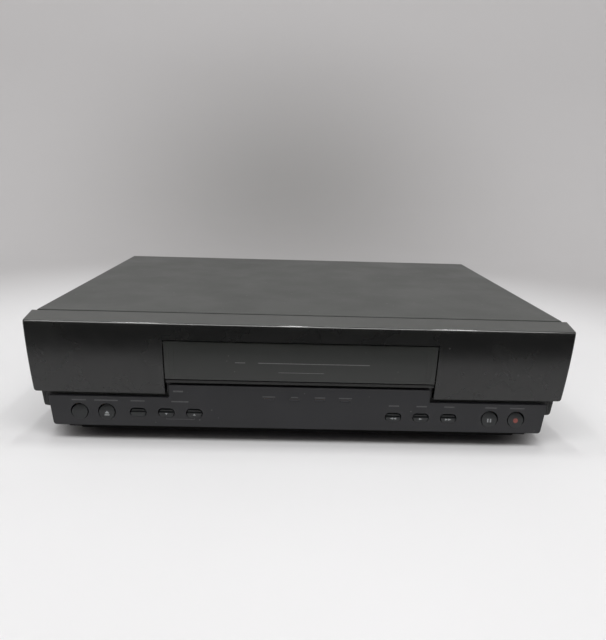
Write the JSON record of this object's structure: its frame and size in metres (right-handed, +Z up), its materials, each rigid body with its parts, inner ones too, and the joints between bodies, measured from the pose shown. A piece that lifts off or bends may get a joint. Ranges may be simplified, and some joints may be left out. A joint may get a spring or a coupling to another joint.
{
  "type": "video cassette recorder",
  "caption": "Video cassette recorder with a sprung front cassette door, control keys, a cassette carriage, a rotating head drum and rear sockets.",
  "frame": {"origin": "middle of the case's footprint, on the surface that the feet stand on", "axes": "+X to the right seen from the front, +Y from the front to the back, +Z up"},
  "size_m": [0.38, 0.292, 0.094],
  "materials": {
    "cover_paint": "matte charcoal paint",
    "bezel_plastic": "satin dark plastic",
    "door_plastic": "satin dark plastic",
    "panel_plastic": "satin blue-black plastic",
    "key_plastic": "satin dark plastic",
    "tub_plastic": "matte black plastic",
    "rubber": "matte",
    "plated_steel": "zinc plated sheet",
    "polished_steel": "polished",
    "cast_aluminium": "machined",
    "circuit_board": "green solder mask",
    "brown_board": "bare brown laminate",
    "black_plastic": "moulded black plastic",
    "white_plastic": "natural acetal",
    "winding": "taped copper winding and laminated core"
  },
  "bodies": {
    "case": {"bottom_chassis": "tub_plastic", "top_cover": "cover_paint", "front_bezel": "bezel_plastic", "front_frame": "bezel_plastic", "control_panel": "panel_plastic", "rear_panel": "plated_steel", "foot_front_left": "rubber", "foot_front_right": "rubber", "foot_rear_left": "rubber", "foot_rear_right": "rubber", "front_board": "brown_board", "main_board": "circuit_board", "power_board": "brown_board", "power_transformer": "winding", "heat_sink": "cast_aluminium", "filter_capacitor": "black_plastic", "power_inlet": "black_plastic", "tuner_box": "plated_steel", "av_socket_block": "black_plastic", "mechanism_deck": "plated_steel", "carriage_side_left": "plated_steel", "carriage_side_right": "plated_steel", "carriage_bridge": "plated_steel", "lower_drum": "cast_aluminium", "erase_head": "cast_aluminium", "audio_control_head": "cast_aluminium", "capstan_bearing": "cast_aluminium", "loading_motor": "plated_steel"},
    "door": {"cassette_door": "door_plastic"},
    "power_key": {"power_button": "key_plastic"},
    "stop_eject_key": {"stop_eject_button": "key_plastic"},
    "pause_key": {"pause_button": "key_plastic"},
    "record_key": {"record_button": "key_plastic"},
    "television_video_key": {"television_video_button": "key_plastic"},
    "channel_down_key": {"channel_down_button": "key_plastic"},
    "channel_up_key": {"channel_up_button": "key_plastic"},
    "rewind_key": {"rewind_button": "key_plastic"},
    "play_key": {"play_button": "key_plastic"},
    "fast_forward_key": {"fast_forward_button": "key_plastic"},
    "slider": {"carriage_slider": "black_plastic"},
    "holder": {"cassette_holder": "plated_steel"},
    "head_drum": {"upper_drum": "polished_steel"},
    "supply_guide": {"supply_guide_carrier": "cast_aluminium"},
    "supply_roller": {"supply_guide_roller": "polished_steel"},
    "takeup_guide": {"takeup_guide_carrier": "cast_aluminium"},
    "takeup_roller": {"takeup_guide_roller": "polished_steel"},
    "capstan": {"capstan_flywheel": "polished_steel"},
    "pinch_lever": {"pinch_arm": "plated_steel"},
    "pinch_wheel": {"pinch_roller": "rubber"},
    "supply_reel": {"supply_reel_table": "white_plastic"},
    "takeup_reel": {"takeup_reel_table": "white_plastic"},
    "idler_lever": {"idler_arm": "black_plastic"},
    "idler": {"idler_wheel": "white_plastic"},
    "tension_lever": {"tension_arm": "plated_steel"},
    "cam": {"cam_gear": "white_plastic"},
    "worm_screw": {"worm": "white_plastic"}
  },
  "joints": [
    {"name": "door_swing", "type": "hinge", "parent": "case", "child": "door", "pos_m": [0, -0.14323, 0.0762], "axis": [1, 0, 0], "range_deg": [0, 85], "stiffness_Nm_per_rad": 0.01, "springref_deg": -28.65},
    {"name": "power_press", "type": "slide", "parent": "case", "child": "power_key", "axis": [0, 1, 0], "range_m": [0, 0.0012], "stiffness_N_per_m": 300},
    {"name": "stop_eject_press", "type": "slide", "parent": "case", "child": "stop_eject_key", "axis": [0, 1, 0], "range_m": [0, 0.0012], "stiffness_N_per_m": 300},
    {"name": "pause_press", "type": "slide", "parent": "case", "child": "pause_key", "axis": [0, 1, 0], "range_m": [0, 0.0012], "stiffness_N_per_m": 300},
    {"name": "record_press", "type": "slide", "parent": "case", "child": "record_key", "axis": [0, 1, 0], "range_m": [0, 0.0012], "stiffness_N_per_m": 300},
    {"name": "television_video_press", "type": "slide", "parent": "case", "child": "television_video_key", "axis": [0, 1, 0], "range_m": [0, 0.0012], "stiffness_N_per_m": 300},
    {"name": "channel_down_press", "type": "slide", "parent": "case", "child": "channel_down_key", "axis": [0, 1, 0], "range_m": [0, 0.0012], "stiffness_N_per_m": 300},
    {"name": "channel_up_press", "type": "slide", "parent": "case", "child": "channel_up_key", "axis": [0, 1, 0], "range_m": [0, 0.0012], "stiffness_N_per_m": 300},
    {"name": "rewind_press", "type": "slide", "parent": "case", "child": "rewind_key", "axis": [0, 1, 0], "range_m": [0, 0.0012], "stiffness_N_per_m": 300},
    {"name": "play_press", "type": "slide", "parent": "case", "child": "play_key", "axis": [0, 1, 0], "range_m": [0, 0.0012], "stiffness_N_per_m": 300},
    {"name": "fast_forward_press", "type": "slide", "parent": "case", "child": "fast_forward_key", "axis": [0, 1, 0], "range_m": [0, 0.0012], "stiffness_N_per_m": 300},
    {"name": "carriage_in", "type": "slide", "parent": "case", "child": "slider", "axis": [0, 1, 0], "range_m": [0, 0.06]},
    {"name": "holder_down", "type": "slide", "parent": "slider", "child": "holder", "axis": [0, 0, -1], "range_m": [0, 0.0125]},
    {"name": "head_drum_spin", "type": "hinge", "parent": "case", "child": "head_drum", "pos_m": [0, 0.084, 0.0358], "axis": [0, 0.0872, 0.9962], "continuous": true},
    {"name": "capstan_spin", "type": "hinge", "parent": "case", "child": "capstan", "pos_m": [0.066, 0.052, 0.03], "axis": [0, 0, 1], "continuous": true},
    {"name": "supply_reel_spin", "type": "hinge", "parent": "case", "child": "supply_reel", "pos_m": [-0.046, -0.01, 0.0318], "axis": [0, 0, 1], "continuous": true},
    {"name": "takeup_reel_spin", "type": "hinge", "parent": "case", "child": "takeup_reel", "pos_m": [0.046, -0.01, 0.0318], "axis": [0, 0, 1], "continuous": true},
    {"name": "idler_swing", "type": "hinge", "parent": "case", "child": "idler_lever", "pos_m": [0, -0.04, 0.0318], "axis": [0, 0, 1], "range_deg": [-38, 38]},
    {"name": "idler_spin", "type": "hinge", "parent": "idler_lever", "child": "idler", "pos_m": [0, -0.008, 0.0318], "axis": [0, 0, 1], "continuous": true},
    {"name": "cam_turn", "type": "hinge", "parent": "case", "child": "cam", "pos_m": [-0.076, 0.096, 0.042], "axis": [0, 0, 1], "range_deg": [0, 294.54]},
    {"name": "worm_spin", "type": "hinge", "parent": "case", "child": "worm_screw", "pos_m": [-0.096, 0.096, 0.042], "axis": [0, 1, 0], "range_deg": [0, 6480]},
    {"name": "supply_guide_load", "type": "hinge", "parent": "case", "child": "supply_guide", "pos_m": [0.004, 0.08, 0.0318], "axis": [0, 0, -1], "range_deg": [0, 50.2]},
    {"name": "supply_roller_spin", "type": "hinge", "parent": "supply_guide", "child": "supply_roller", "pos_m": [-0.02602, 0.04397, 0.048], "axis": [0, 0, 1], "continuous": true},
    {"name": "takeup_guide_load", "type": "hinge", "parent": "case", "child": "takeup_guide", "pos_m": [-0.004, 0.08, 0.0318], "axis": [0, 0, 1], "range_deg": [0, 50.2]},
    {"name": "takeup_roller_spin", "type": "hinge", "parent": "takeup_guide", "child": "takeup_roller", "pos_m": [0.02602, 0.04397, 0.048], "axis": [0, 0, 1], "continuous": true},
    {"name": "pinch_press", "type": "hinge", "parent": "case", "child": "pinch_lever", "pos_m": [0.092, 0.06, 0.034], "axis": [0, 0, 1], "range_deg": [0, 30]},
    {"name": "pinch_roller_spin", "type": "hinge", "parent": "pinch_lever", "child": "pinch_wheel", "pos_m": [0.07425, 0.06284, 0.048], "axis": [0, 0, 1], "continuous": true},
    {"name": "tension_swing", "type": "hinge", "parent": "case", "child": "tension_lever", "pos_m": [-0.066, 0.022, 0.0318], "axis": [0, 0, 1], "range_deg": [0, 24]}
  ],
  "couplings": [
    {"joint": "worm_spin", "follows": "cam_turn", "ratio": 22},
    {"joint": "supply_guide_load", "follows": "cam_turn", "ratio": 0.17043},
    {"joint": "takeup_guide_load", "follows": "cam_turn", "ratio": 0.17043},
    {"joint": "pinch_press", "follows": "cam_turn", "ratio": 0.10185},
    {"joint": "tension_swing", "follows": "cam_turn", "ratio": 0.08148}
  ]
}
